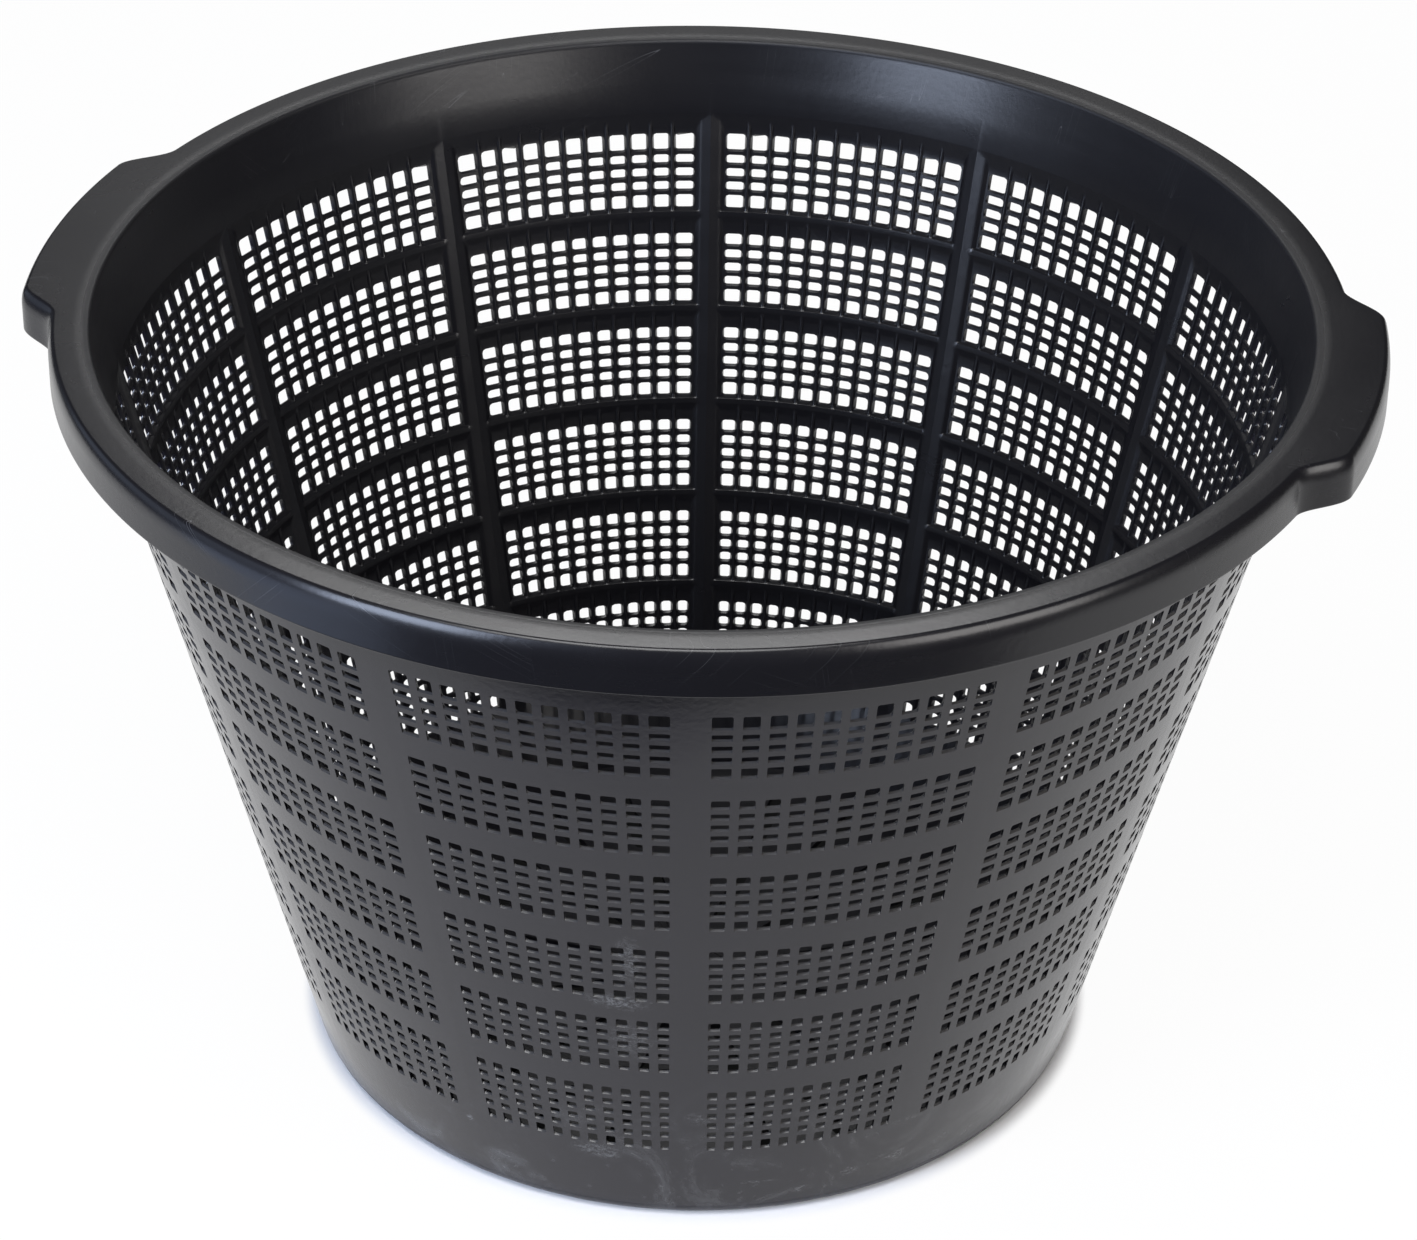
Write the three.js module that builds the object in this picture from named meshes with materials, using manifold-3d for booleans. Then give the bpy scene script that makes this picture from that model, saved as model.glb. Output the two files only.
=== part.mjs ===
// Pond planting basket: one injection moulding in charcoal polypropylene, modelled region by region.
// Units are millimetres, +Z is up, the origin is the middle of the underside and the handles lie along X.
// The wall is a cone of twelve bays. A bay's frame is the heavy rib at one side of it, with the thin cross
// bars and the ring ledges running from that rib to the next. A bay's comb is its two plain bands with
// the fine uprights between them, standing just inside the cross bars.

import * as THREE from "three";
import { mergeVertices } from "three/addons/utils/BufferGeometryUtils.js";
import Module from "manifold-3d";

// Overall form
const HEIGHT = 257.5;
const BASE_RADIUS = 126;         // outside of the wall at the floor plane
const WALL = 1.4;                // skin of the wall, measured along the radius
const SEAM = 0.25;               // joint line between two regions of the moulding

// Rim: a channel turned over outwards, open below
const RIM_RADIUS = 200;
const RIM_OVERHANG = 9.8;        // from the wall out to the rim's edge, at the rim's top face
const RIM_DEPTH = 14.3;
const RIM_PLATE = 2;
const SKIRT_WALL = 1.8;
const EDGE_ROUND = 3.9;          // outer top edge of the rim and handles
const LIP_ROUND = 1.4;           // inner top edge of the mouth

// Handles: two wider stretches of the rim
const HANDLE_REACH = 10.2;
const HANDLE_LENGTH = 99;        // between the middles of the two end curves
const HANDLE_END_CURVE = 15;     // length of rim that each end curve takes

// Grille: holes per bay, tier and row
const BAYS = 12;
const BAY_TURN = -2.5;           // degrees from the handle line to the middle of the nearest bay
const ROWS_PER_TIER = [6, 5, 5, 5, 5, 5];   // from the lowest tier to the highest
const HOLE_COLUMNS = 11;
const COLUMN_PITCH = 2.405;      // degrees
const UPPER_BAND = 18.6;         // plain wall between the top holes and the rim
const LOWER_BAND = 30.8;         // plain wall between the floor and the lowest holes
const RING_BAND = 9.2;           // plain wall between two tiers
const CROSS_BAR = 2;             // height of a thin bar between two rows
const CROSS_BAR_DEPTH = 0.8;
const BAR_RECESS = 0.08;         // cross bars lie this little behind the blank strips
const UPRIGHT_FRONT = 2.6;       // width of a fine upright behind the cross bars
const UPRIGHT_BACK = 1.8;        // and on its inner face
const UPRIGHT_PROUD = 0.6;       // how far a fine upright stands in from the skin
const FIRST_ROW = 1.35;          // height of a tier's first row, in row heights
const LAST_ROW = 1.59;
const TOP_ROW = 2.02;            // the first row of the highest tier

// Stiffening on the inside of the wall
const RIB_PROUD = 1.5;           // how far ledges, upper band and heavy ribs stand in from the skin
const STRIP = 11;                // blank strip of wall behind a heavy rib
const RIB_BASE = 9.2;
const RIB_CREST = 6.8;
const LEDGE_DROP = 0.45;         // from the top of a ring's outer face down to its ledge
const LEDGE_FACE = 1.9;          // upright inner face of a ring ledge
const LEDGE_SLOPE = 1.5;         // slope under it
const LOWER_WALL = 2.5;          // thickness of the lower band
const BAND_FADE = 8;             // where the upper band fades back to the skin, above the top holes

// Floor: a flat plate with two rings of radial slots
const FLOOR = 2;
const FLOOR_CORNER = 5;          // chamfer at its lower edge
const SLOT_WIDTH = 5;
const HUB_RADIUS = 30;           // inner slots start here
const INNER_SLOTS_END = 62;
const OUTER_SLOTS_START = 74;
const FLOOR_BORDER = 16;         // plain border outside the outer slots

// Facets
const WALL_FACETS_PER_BAY = 2;   // each bay bends once, at its middle
const RIM_STEP = 7;              // degrees
const HANDLE_STEPS = 16;
const SAME_PLACE = 1e-4;         // points this close together are one

const BLACK_PLASTIC = { color: 0x2c2c2f, roughness: 0.55, metalness: 0 };
const RIM_PLASTIC = { color: 0x303033, roughness: 0.4, metalness: 0 };

const { degToRad, lerp, mapLinear, smoothstep } = THREE.MathUtils;
const wasm = await Module();
wasm.setup();
const basket = new THREE.Group();

function addPart(name, geometry, finish = BLACK_PLASTIC) {
  const mesh = new THREE.Mesh(geometry, new THREE.MeshStandardMaterial(finish));
  mesh.name = name;
  basket.add(mesh);
}

// Joins loops of equal point count into one closed solid, with flat ends that have the section's outline
function loft(loops, section) {
  const triangles = [];
  const count = section.length;
  for (let s = 0; s + 1 < loops.length; s += 1) {
    for (let i = 0; i < count; i += 1) {
      const j = (i + 1) % count;
      triangles.push(loops[s][i], loops[s][j], loops[s + 1][j]);
      triangles.push(loops[s][i], loops[s + 1][j], loops[s + 1][i]);
    }
  }
  const clockwise = THREE.ShapeUtils.isClockWise(section);
  const startCap = clockwise ? loops[loops.length - 1] : loops[0];
  const endCap = clockwise ? loops[0] : loops[loops.length - 1];
  for (const [a, b, c] of THREE.ShapeUtils.triangulateShape(section, [])) {
    triangles.push(startCap[a], startCap[c], startCap[b]);
    triangles.push(endCap[a], endCap[b], endCap[c]);
  }
  return facingOut(triangles);
}

// Turns the whole shell over when its faces point inwards, which the sign of its volume shows.
function facingOut(triangles) {
  const cross = new THREE.Vector3();
  let volume = 0;
  for (let i = 0; i < triangles.length; i += 3) {
    volume += cross.crossVectors(triangles[i + 1], triangles[i + 2]).dot(triangles[i]);
  }
  const points = volume < 0 ? triangles.slice().reverse() : triangles;
  return mergeVertices(new THREE.BufferGeometry().setFromPoints(points), SAME_PLACE);
}

function toSolid(geometry) {
  const bare = new THREE.BufferGeometry().setAttribute("position", geometry.attributes.position);
  const closed = mergeVertices(bare.setIndex(geometry.index), SAME_PLACE);
  return new wasm.Manifold(new wasm.Mesh({
    numProp: 3,
    vertProperties: closed.attributes.position.array,
    triVerts: new Uint32Array(closed.index.array)
  }));
}

function toGeometry(solid) {
  const mesh = solid.asOriginal().simplify(SAME_PLACE).getMesh();
  const geometry = new THREE.BufferGeometry();
  geometry.setAttribute("position", new THREE.BufferAttribute(mesh.vertProperties, 3));
  return geometry.setIndex(new THREE.BufferAttribute(mesh.triVerts, 1));
}

// Joins pieces that run into one another to one solid
function join(geometries) {
  return toGeometry(wasm.Manifold.union(geometries.map(toSolid)));
}

// Outside radius of the wall at a height
function wallRadius(z) {
  return mapLinear(z, 0, HEIGHT, BASE_RADIUS, RIM_RADIUS - RIM_OVERHANG);
}

// Heights of every thin cross bar and every ring band, as [bottom, top], from the lowest up
const wallBottom = FLOOR + SEAM;
const wallTop = HEIGHT - RIM_DEPTH - SEAM;
const firstHoles = FLOOR + LOWER_BAND;
const lastHoles = HEIGHT - RIM_DEPTH - UPPER_BAND;

function sum(values) {
  return values.reduce((total, value) => total + value, 0);
}

const tiers = ROWS_PER_TIER.map((rows, tier) => {
  const heights = new Array(rows).fill(1);
  heights[0] = LAST_ROW;
  heights[rows - 1] = tier === ROWS_PER_TIER.length - 1 ? TOP_ROW : FIRST_ROW;
  return heights;
});
const thinBarCount = sum(ROWS_PER_TIER) - tiers.length;
const openHeight = lastHoles - firstHoles - (tiers.length - 1) * RING_BAND - thinBarCount * CROSS_BAR;
const rowHeight = openHeight / sum(tiers.map(sum));
const crossBars = [];
const ringBands = [];

let level = firstHoles;
tiers.forEach((heights, tier) => {
  heights.forEach((share, row) => {
    level += share * rowHeight;
    const lastOfTier = row === heights.length - 1;
    if (lastOfTier && tier === tiers.length - 1) return;
    const height = lastOfTier ? RING_BAND : CROSS_BAR;
    (lastOfTier ? ringBands : crossBars).push([level, level + height]);
    level += height;
  });
});

// The wall is flat between its bends. They lie a little outside the true cone, and the middles of the
// facets as much inside it.
const facetHalf = Math.PI / BAYS / WALL_FACETS_PER_BAY;
const flatShare = 2 * Math.cos(facetHalf) / (1 + Math.cos(facetHalf));

function facetDistance(z, depth) {
  return wallRadius(z) * flatShare - depth;
}

// Point on a facet, with along measured across the facet from its middle
function facetPoint(middle, along, z, depth) {
  const out = facetDistance(z, depth);
  return new THREE.Vector3(
    out * Math.cos(middle) - along * Math.sin(middle),
    out * Math.sin(middle) + along * Math.cos(middle),
    z
  );
}

// Distance across a facet from its middle to a plane that lies beside the heavy rib's middle plane
function besideRib(distance, z, depth) {
  return (facetDistance(z, depth) * Math.sin(facetHalf) - distance) / Math.cos(facetHalf);
}

function bayMiddle(bay) {
  return degToRad(BAY_TURN + (360 / BAYS) * bay);
}

// A bar across a bay, bent at the bay's middle. Section points are (depth, height), and the two ends are
// given as distances from the middle planes of the heavy ribs.
function acrossBay(bay, section, startBeside, endBeside) {
  const first = bayMiddle(bay) - facetHalf;
  const second = bayMiddle(bay) + facetHalf;
  const bend = (z, depth) => facetDistance(z, depth) * Math.tan(facetHalf);
  return loft([
    section.map((p) => facetPoint(first, -besideRib(startBeside, p.y, p.x), p.y, p.x)),
    section.map((p) => facetPoint(first, bend(p.y, p.x), p.y, p.x)),
    section.map((p) => facetPoint(second, besideRib(endBeside, p.y, p.x), p.y, p.x))
  ], section);
}

function outline(points) {
  return points.map(([x, y]) => new THREE.Vector2(x, y));
}

// Thin cross bar: its holes widen inwards, so it narrows to an edge
function thinBarSection(bottom, top) {
  return outline([[BAR_RECESS, bottom], [CROSS_BAR_DEPTH, (bottom + top) / 2], [BAR_RECESS, top]]);
}

function ringBandSection(bottom, top) {
  return outline([[BAR_RECESS, bottom], [CROSS_BAR_DEPTH, bottom], [CROSS_BAR_DEPTH, top], [BAR_RECESS, top]]);
}

// Ring ledge on the inside: level on top, an upright face, then a slope under it
function ledgeSection(top) {
  const back = WALL + UPRIGHT_PROUD + SEAM;
  const proud = WALL + RIB_PROUD;
  const ledge = top - LEDGE_DROP;
  const face = ledge - LEDGE_FACE;
  return outline([[back, face - LEDGE_SLOPE], [proud, face], [proud, ledge], [back, ledge]]);
}

// Heavy rib on the bend between two bays: a blank strip of skin, with a bevelled rib on its inside. The
// bevels close towards the top, where the upper band is as thick as the rib.
function heavyRib(bay) {
  const middle = bayMiddle(bay) - Math.PI / BAYS;
  const peak = STRIP / 2 * Math.tan(facetHalf);
  const proud = WALL + RIB_PROUD;
  const ribSection = (shoulder, depth) => {
    const side = [[STRIP / 2, 0], [STRIP / 2, WALL], [shoulder / 2, depth], [RIB_CREST / 2, proud]];
    const otherSide = side.map(([x, y]) => [-x, y]).reverse();
    return outline([[0, -peak], ...side, ...otherSide]);
  };
  const bevelled = ribSection(RIB_BASE, WALL);
  const closed = ribSection(STRIP, proud);
  const at = (z, section) => section.map((p) => {
    const out = facetDistance(z, 0) / Math.cos(facetHalf) - peak - p.y;
    return new THREE.Vector3(
      out * Math.cos(middle) - p.x * Math.sin(middle),
      out * Math.sin(middle) + p.x * Math.cos(middle),
      z
    );
  });
  return loft([
    at(wallBottom, bevelled),
    at(lastHoles, bevelled),
    at(lastHoles + BAND_FADE, closed),
    at(wallTop, closed)
  ], bevelled);
}

function bayFrame(bay) {
  const inRib = RIB_CREST / 2 - SEAM;
  const nextRib = STRIP / 2 + SEAM;
  const pieces = [heavyRib(bay)];
  for (const [bottom, top] of crossBars) {
    pieces.push(acrossBay(bay, thinBarSection(bottom, top), inRib, nextRib));
  }
  for (const [bottom, top] of ringBands) {
    pieces.push(acrossBay(bay, ringBandSection(bottom, top), inRib, nextRib));
    pieces.push(acrossBay(bay, ledgeSection(top), inRib, nextRib));
  }
  return join(pieces);
}

// Fine upright: a tapered bar that follows the slope of the wall at a fixed angle round the basket
function fineUpright(bay, angle) {
  const side = Math.sign(angle) * facetHalf;
  const section = outline([
    [-UPRIGHT_FRONT / 2, CROSS_BAR_DEPTH + SEAM],
    [UPRIGHT_FRONT / 2, CROSS_BAR_DEPTH + SEAM],
    [UPRIGHT_BACK / 2, WALL + UPRIGHT_PROUD],
    [-UPRIGHT_BACK / 2, WALL + UPRIGHT_PROUD]
  ]);
  const at = (z) => section.map((p) => {
    const along = facetDistance(z, p.y) * Math.tan(angle - side) + p.x;
    return facetPoint(bayMiddle(bay) + side, along, z, p.y);
  });
  return loft([at(firstHoles - FLOOR), at(lastHoles + BAND_FADE / 2)], section);
}

function bayComb(bay) {
  const proud = WALL + RIB_PROUD;
  const beside = STRIP / 2 + SEAM;
  const upper = outline([
    [0, lastHoles], [WALL, lastHoles], [proud, lastHoles + BAND_FADE], [proud, wallTop], [0, wallTop]
  ]);
  const lower = outline([[0, wallBottom], [LOWER_WALL, wallBottom], [LOWER_WALL, firstHoles], [0, firstHoles]]);
  const pieces = [acrossBay(bay, upper, beside, beside), acrossBay(bay, lower, beside, beside)];
  const uprights = HOLE_COLUMNS - 1;
  for (let i = 0; i < uprights; i += 1) {
    pieces.push(fineUpright(bay, degToRad((i - (uprights - 1) / 2) * COLUMN_PITCH)));
  }
  return join(pieces);
}

// Outline of rim and handles seen from above, as a radius at an angle from the handle line
const handleHalf = Math.asin(HANDLE_LENGTH / 2 / RIM_RADIUS);
const curveHalf = HANDLE_END_CURVE / 2 / RIM_RADIUS;

function rimOutline(angle) {
  const inwards = (handleHalf + curveHalf - Math.abs(angle)) / (2 * curveHalf);
  return RIM_RADIUS + HANDLE_REACH * smoothstep(inwards, 0, 1);
}

function outlinePoint(angle, turn) {
  const radius = rimOutline(angle);
  return new THREE.Vector2(radius * Math.cos(angle + turn), radius * Math.sin(angle + turn));
}

// Outward normal of the outline, from two neighbouring points on it
function outlineNormal(angle, turn) {
  const near = 1e-3;
  const along = outlinePoint(angle + near, turn).sub(outlinePoint(angle - near, turn)).normalize();
  return new THREE.Vector2(along.y, -along.x);
}

// Rim channel at one angle: inner leg, mouth edge, top plate, rounded outer edge and skirt, in that order
function channelLoop(angle, turn) {
  const edge = outlinePoint(angle, turn);
  const normal = outlineNormal(angle, turn);
  const bottom = HEIGHT - RIM_DEPTH;
  const under = HEIGHT - RIM_PLATE;
  const thick = WALL + RIB_PROUD;
  const onWall = (radius, z) => new THREE.Vector3(
    radius * Math.cos(angle + turn), radius * Math.sin(angle + turn), z
  );
  const onEdge = (inset, z) => new THREE.Vector3(edge.x - normal.x * inset, edge.y - normal.y * inset, z);
  const slant = Math.SQRT1_2;
  const points = [
    onWall(wallRadius(bottom), bottom),
    onWall(wallRadius(bottom) - thick, bottom),
    onWall(wallRadius(HEIGHT) - thick, HEIGHT - LIP_ROUND),
    onWall(wallRadius(HEIGHT) - thick + LIP_ROUND * (1 - slant), HEIGHT - LIP_ROUND * (1 - slant)),
    onWall(wallRadius(HEIGHT) - thick + LIP_ROUND, HEIGHT)
  ];
  for (const step of [90, 45, 0]) {
    const inset = EDGE_ROUND * (1 - Math.cos(degToRad(step)));
    const drop = EDGE_ROUND * (1 - Math.sin(degToRad(step)));
    points.push(onEdge(inset, HEIGHT - drop));
  }
  points.push(onEdge(0, bottom), onEdge(SKIRT_WALL, bottom), onEdge(SKIRT_WALL, under));
  points.push(onWall(wallRadius(under), under));
  return points;
}

// The same section drawn flat, for the end faces
function channelSection() {
  return channelLoop(Math.PI / 2, -Math.PI / 2).map((p) => new THREE.Vector2(p.x, p.z));
}

function channel(start, end, steps, turn) {
  const loops = [];
  for (let i = 0; i <= steps; i += 1) {
    loops.push(channelLoop(lerp(start, end, i / steps), turn));
  }
  return loft(loops, channelSection());
}

// Straight slots that point at the middle of the floor, as solids to cut with
function radialSlots(count, inner, outer) {
  return Array.from({ length: count }, (_, i) => {
    const slot = new THREE.BoxGeometry(outer - inner, SLOT_WIDTH, 2 * FLOOR);
    slot.translate((inner + outer) / 2, 0, FLOOR / 2);
    return slot.rotateZ(bayMiddle(0) + 2 * Math.PI / count * i);
  });
}

// Floor: a flat plate with a chamfered lower edge and two rings of slots
function floorPlate() {
  const corner = facetDistance(FLOOR, 0) / Math.cos(facetHalf);
  const sides = BAYS * WALL_FACETS_PER_BAY;
  const turn = Math.PI / 2 + bayMiddle(0);
  const plate = new THREE.CylinderGeometry(corner, corner - FLOOR_CORNER, FLOOR, sides, 1, false, turn);
  plate.rotateX(Math.PI / 2).translate(0, 0, FLOOR / 2);
  const slots = [
    ...radialSlots(BAYS, HUB_RADIUS, INNER_SLOTS_END),
    ...radialSlots(2 * BAYS, OUTER_SLOTS_START, BASE_RADIUS - FLOOR_BORDER)
  ];
  return toGeometry(wasm.Manifold.difference([plate, ...slots].map(toSolid)));
}

for (let bay = 0; bay < BAYS; bay += 1) {
  const number = String(bay + 1).padStart(2, "0");
  addPart(`bay_frame_${number}`, bayFrame(bay));
  addPart(`bay_comb_${number}`, bayComb(bay));
}

const handleEnd = handleHalf + curveHalf;
const rimStart = handleEnd + SEAM / RIM_RADIUS;
const rimSteps = 2 * Math.round((Math.PI / 2 - rimStart) / degToRad(RIM_STEP));
addPart("rim_back", channel(rimStart, Math.PI - rimStart, rimSteps, 0), RIM_PLASTIC);
addPart("rim_front", channel(rimStart, Math.PI - rimStart, rimSteps, Math.PI), RIM_PLASTIC);
addPart("handle_right", channel(-handleEnd, handleEnd, HANDLE_STEPS, 0), RIM_PLASTIC);
addPart("handle_left", channel(-handleEnd, handleEnd, HANDLE_STEPS, Math.PI), RIM_PLASTIC);
addPart("floor_plate", floorPlate());

export default basket;
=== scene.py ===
# Pond planting basket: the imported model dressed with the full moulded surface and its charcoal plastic.

import math

import bpy
import numpy as np
from mathutils import Matrix, Vector


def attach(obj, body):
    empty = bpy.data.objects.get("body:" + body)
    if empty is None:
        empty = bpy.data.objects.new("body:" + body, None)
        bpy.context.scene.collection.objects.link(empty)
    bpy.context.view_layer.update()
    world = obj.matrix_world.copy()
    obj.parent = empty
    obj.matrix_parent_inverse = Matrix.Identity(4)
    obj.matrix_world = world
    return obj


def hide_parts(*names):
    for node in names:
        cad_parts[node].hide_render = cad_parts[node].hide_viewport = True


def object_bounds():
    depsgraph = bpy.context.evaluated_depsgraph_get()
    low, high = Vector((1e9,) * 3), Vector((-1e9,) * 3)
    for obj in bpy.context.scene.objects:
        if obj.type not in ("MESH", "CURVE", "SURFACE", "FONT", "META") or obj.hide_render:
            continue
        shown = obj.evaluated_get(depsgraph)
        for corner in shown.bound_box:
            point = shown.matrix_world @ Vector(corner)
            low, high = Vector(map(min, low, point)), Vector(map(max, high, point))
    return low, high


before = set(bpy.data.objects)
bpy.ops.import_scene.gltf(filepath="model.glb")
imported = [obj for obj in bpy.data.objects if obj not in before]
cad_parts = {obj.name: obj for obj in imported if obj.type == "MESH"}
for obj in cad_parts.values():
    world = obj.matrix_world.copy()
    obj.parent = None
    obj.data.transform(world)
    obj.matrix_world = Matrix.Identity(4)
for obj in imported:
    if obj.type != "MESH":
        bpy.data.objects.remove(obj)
cad_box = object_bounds()


# Grille wall. The real wall is a tapered skin of charcoal polypropylene, moulded in one shot with its 31 rows
# of holes. The holes widen inwards, so that the core of the mould pulls out, and on the inside every bar
# between two columns carries a fine rib. Twelve bays make the wall, each from the middle of one heavy rib to
# the next.

MM = 0.001
high = np.array(cad_box[1]) / MM
height = high[2]
rim_radius = high[1]                 # the handles reach further, along x
rim_depth = 14.8
wall_top_radius = rim_radius - 9.8   # outside of the wall, carried up to the rim's top face
base_radius = 126.0
skin = 1.4
rib_proud = 1.5                      # how far the heavy ribs and the upper band stand in from the skin
bays = 12
bay_turn = math.radians(-2.5)        # from the handle line to the middle of the first bay
bay_half = math.pi / bays


def wall_radius(z):
    """Outside radius of the wall at height z: a straight cone from the base to the rim's top face."""
    return base_radius + (wall_top_radius - base_radius) * z / height


def polar(radius, angle, z):
    """Points at a radius and an angle round the basket's axis, at height z."""
    radius, angle, z = np.broadcast_arrays(radius, angle, z)
    return np.stack([radius * np.cos(angle), radius * np.sin(angle), z], axis=-1)


def make_mesh(name, points, faces, sharp_angle=32):
    """Mesh from an array of points in millimetres and arrays of faces, one array for each number of corners.
    Points that no face uses are left out. Edges sharper than the given angle stay sharp."""
    faces = [np.atleast_2d(np.asarray(group, dtype=np.int64)) for group in faces]
    used = np.unique(np.concatenate([group.ravel() for group in faces]))
    new_index = np.zeros(len(points), dtype=np.int64)
    new_index[used] = np.arange(len(used))
    corners = np.concatenate([new_index[group].ravel() for group in faces])
    sizes = np.concatenate([np.full(len(group), group.shape[1]) for group in faces])
    mesh = bpy.data.meshes.new(name)
    mesh.vertices.add(len(used))
    mesh.vertices.foreach_set("co", (points[used] * MM).ravel())
    mesh.loops.add(len(corners))
    mesh.loops.foreach_set("vertex_index", corners)
    mesh.polygons.add(len(sizes))
    mesh.polygons.foreach_set("loop_start", np.concatenate([[0], np.cumsum(sizes)[:-1]]))
    mesh.update(calc_edges=True)
    mesh.validate()
    mesh.shade_smooth()
    mesh.set_sharp_from_angle(angle=math.radians(sharp_angle))
    piece = bpy.data.objects.new(name, mesh)
    bpy.context.scene.collection.objects.link(piece)
    return piece


def pierced_face(columns, rows, hole_columns, hole_rows, open_holes, place, first_index):
    """One face of a pierced sheet. The grid of column lines and row lines is placed point by point, the 3 by
    3 cells of each open hole are left out, and the four corners of a hole are rounded by one point on each
    arc. columns is an array of (angle, offset), rows an array that place understands, and each hole starts at
    the first of its four lines. Returns the points, the grid of point numbers, the quads, the corner
    triangles and each hole's loop of 12 points."""
    n_columns, n_rows = len(columns), len(rows)
    grid = place(columns[:, None, :], rows[None, :, :])
    index = first_index + np.arange(n_columns * n_rows).reshape(n_columns, n_rows)
    solid = np.ones((n_columns - 1, n_rows - 1), dtype=bool)
    chosen_column, chosen_row = (axis.ravel() for axis in np.where(open_holes))
    c, r = hole_columns[chosen_column], hole_rows[chosen_row]
    for i in range(3):
        for j in range(3):
            solid[c + i, r + j] = False
    u, v = np.where(solid)
    quads = np.stack([index[u, v], index[u + 1, v], index[u + 1, v + 1], index[u, v + 1]], axis=1)

    # Each corner's own lines with their neighbours, and where its arc starts and ends, by a hole's four lines
    corner_lines = [(3, 2, 0, 1), (3, 2, 3, 2), (0, 1, 3, 2), (0, 1, 0, 1)]
    starts = [(2, 0), (3, 2), (1, 3), (0, 1)]
    ends = [(3, 1), (2, 3), (0, 2), (1, 0)]
    arc_middle = 1 - math.sqrt(0.5)      # of a quarter circle, from its corner's lines to their neighbours
    arc_points, loop, triangles = [], [], []
    next_index = first_index + n_columns * n_rows
    for (edge_c, in_c, edge_r, in_r), start, end in zip(corner_lines, starts, ends):
        column = columns[c + edge_c] + arc_middle * (columns[c + in_c] - columns[c + edge_c])
        row = rows[r + edge_r] + arc_middle * (rows[r + in_r] - rows[r + edge_r])
        arc_points.append(place(column, row))
        middle = next_index + np.arange(len(c))
        next_index += len(c)
        corner = index[c + edge_c, r + edge_r]
        first, last = index[c + start[0], r + start[1]], index[c + end[0], r + end[1]]
        triangles += [np.stack([corner, last, middle], axis=1), np.stack([corner, middle, first], axis=1)]
        loop += [first, middle, last]
    points = np.concatenate([grid.reshape(-1, 3)] + arc_points)
    return points, index, quads, np.concatenate(triangles), np.stack(loop, axis=1)


def pierced_sheet(outer, inner, open_holes, neck=None):
    """A pierced sheet, open at its borders: an outer and an inner face and tunnels between each hole's two
    loops. Each face is given as its column lines, its row lines, the holes' first lines in both and its
    place function. neck gives the points of a third loop inside each tunnel from those of the other two.
    Returns the sheet's points, its faces and the two grids of point numbers."""
    points_o, index_o, quads_o, corners_o, loops_o = pierced_face(*outer[:4], open_holes, outer[4], 0)
    points_i, index_i, quads_i, corners_i, loops_i = pierced_face(
        *inner[:4], open_holes, inner[4], len(points_o))
    points = np.concatenate([points_o, points_i])
    loops = [loops_o, loops_i]
    if neck:
        necks = neck(points[loops_o], points[loops_i])
        loops.insert(1, len(points) + np.arange(loops_o.size).reshape(loops_o.shape))
        points = np.concatenate([points, necks.reshape(-1, 3)])
    tunnels = [
        np.stack([near, np.roll(near, -1, axis=1), np.roll(far, -1, axis=1), far], axis=2).reshape(-1, 4)
        for near, far in zip(loops[:-1], loops[1:])]
    faces = [np.concatenate([quads_o, quads_i[:, ::-1], *tunnels]),
             np.concatenate([corners_o, corners_i[:, ::-1]])]
    return points, faces, index_o, index_i


def closed_borders(index_o, index_i):
    """The four flat faces that close a sheet: its two sides, its top and its foot."""
    return [np.concatenate([index_o[0], index_i[0, ::-1]]),
            np.concatenate([index_i[-1], index_o[-1, ::-1]]),
            np.concatenate([index_o[:, -1], index_i[::-1, -1]]),
            np.concatenate([index_i[:, 0], index_o[::-1, 0]])]


# Heights of the holes' outer mouths, worked out from the lowest tier up as the moulded pattern repeats.
wall_foot = 4.9
first_holes, last_holes = 32.8, height - 32.9
ring_band, cross_bar = 9.2, 2.0
foot_row, head_row = 1.59, 1.35      # heights of a tier's lowest and highest row against a middle row
top_row = 2.02                       # and of the highest row of all
rows_per_tier = [6, 5, 5, 5, 5, 5]
shares = [[foot_row] + [1.0] * (rows - 2) + [head_row] for rows in rows_per_tier]
shares[-1][-1] = top_row
ring_count = len(shares) - 1
bar_count = sum(rows_per_tier) - len(shares)
open_height = last_holes - first_holes - ring_count * ring_band - bar_count * cross_bar
row_height = open_height / sum(sum(tier) for tier in shares)
hole_heights = []
level = first_holes
for tier in shares:
    for share in tier:
        hole_heights.append((level, level + share * row_height))
        level += share * row_height + cross_bar
    level += ring_band - cross_bar
hole_heights = np.array(hole_heights)

# Column lines, each an angle from the bay's middle and an offset in millimetres along the wall.
holes_across = 11
column_pitch = math.radians(2.405)
bar_angles = (np.arange(holes_across - 1) - (holes_across - 2) / 2) * column_pitch
strip_half, bar_half = 5.8, 1.35
taper_down, taper_up = 0.25, 0.65    # how much further a hole reaches on the inside, down and up
taper_bar, taper_strip = 0.55, 0.5   # and sideways, at a bar and at a heavy rib's strip
outer_corner, inner_corner = 0.4, 1.3    # rounding of the holes' corners outside and inside
foot_corner, head_corner = 0.25, 0.3     # how far the outer rounding reaches up and down a hole
top_head_corner = 0.9                # down the highest holes of each tier
edge_drop, edge_rise = 0.1, 0.35     # each bar's upper edge is rounded off between these heights outside
fine_rib, ledge_proud = 0.8, 0.95    # how far the fine ribs and the ring ledges stand in from the skin
beside_joint = 0.25                  # a narrow strip beside the bay's ends keeps the shading continuous
flash_along, flash_depth = (-0.4, 1.0), (-0.8, 1.1)  # ranges along a hole's head and from hole to hole

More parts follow.
